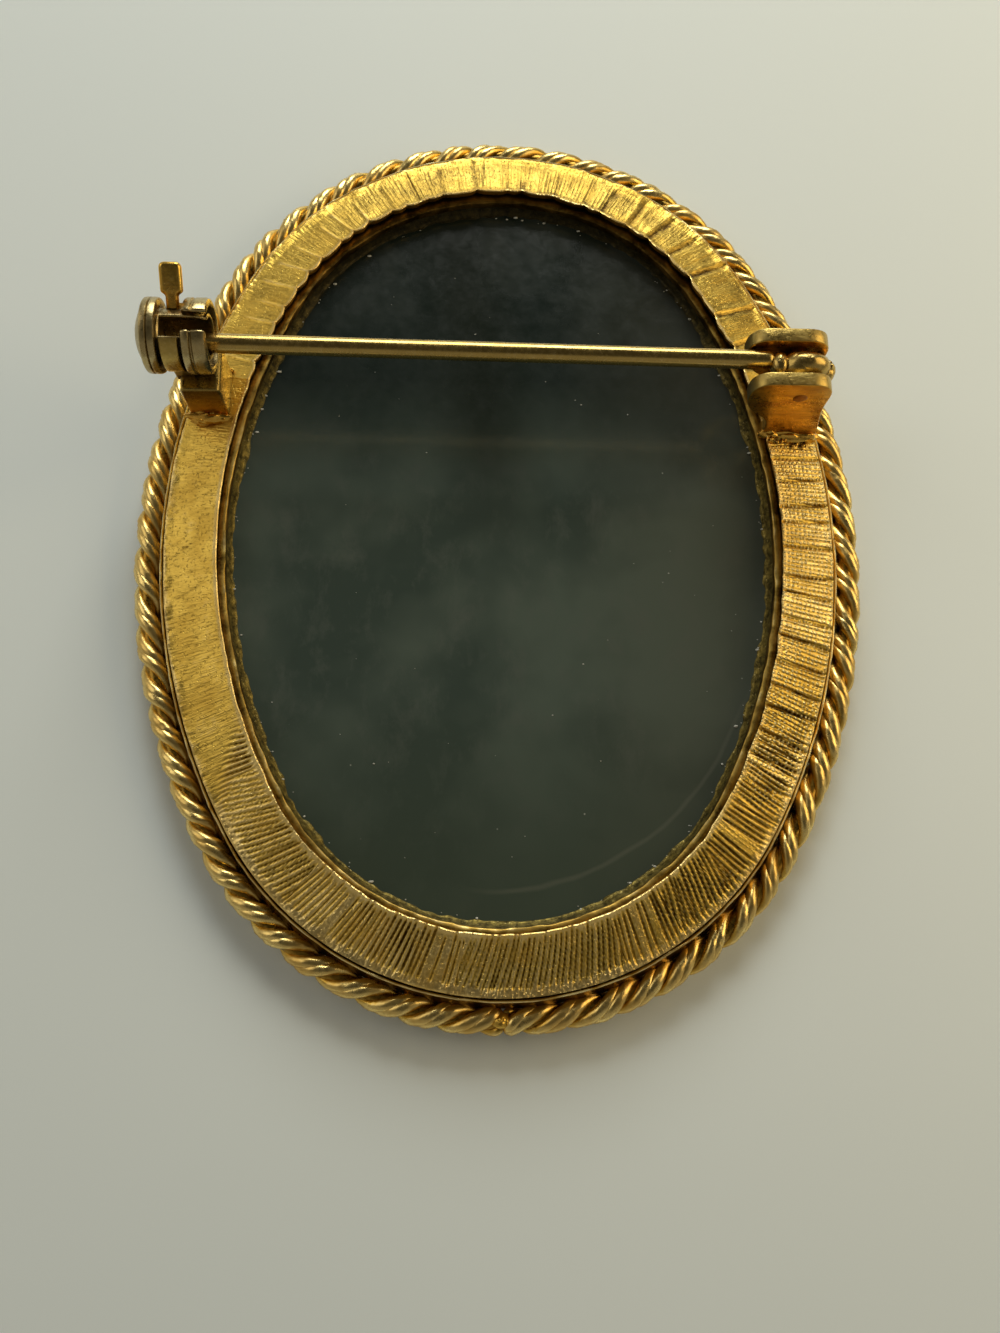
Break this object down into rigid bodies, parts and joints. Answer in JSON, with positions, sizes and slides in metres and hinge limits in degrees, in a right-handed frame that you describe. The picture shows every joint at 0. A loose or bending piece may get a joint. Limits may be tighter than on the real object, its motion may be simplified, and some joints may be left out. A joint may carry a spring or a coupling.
{
  "type": "cameo brooch",
  "caption": "Oval cameo brooch with a twisted rope border, a dark stone with a raised white profile, a hinged pin and a turning safety catch.",
  "frame": {"origin": "on the surface that the brooch lies on, under the middle of its outline", "axes": "+Z out of the brooch's back, +Y towards its top edge along its length, +X from the catch to the hinge"},
  "size_m": [0.0372, 0.0482, 0.0099],
  "materials": {
    "gilt": "grooved satin gilt, worn bright on its edges",
    "gilt_rope": "gilt, dark in its crevices",
    "dark_stone": "polished dark green-grey stone, cloudy",
    "white_layer": "satin white carving",
    "pin_metal": "polished gilt wire",
    "worn_catch": "worn greyish gilt"
  },
  "bodies": {
    "brooch": {"frame": "gilt", "rope_border": "gilt_rope", "stone": "dark_stone", "cameo_relief": "white_layer", "hinge_rivet": "pin_metal"},
    "pin": {"pin_stem": "pin_metal"},
    "catch": {"catch_spool": "worn_catch"}
  },
  "joints": [
    {"name": "pin_hinge", "type": "hinge", "parent": "brooch", "child": "pin", "pos_m": [0.01425, 0.00711, 0.00705], "axis": [0, 1, 0], "range_deg": [0, 100]},
    {"name": "catch_lock", "type": "hinge", "parent": "brooch", "child": "catch", "pos_m": [-0.01558, 0.0079, 0.00786], "axis": [1, 0, 0], "range_deg": [0, 65]}
  ]
}
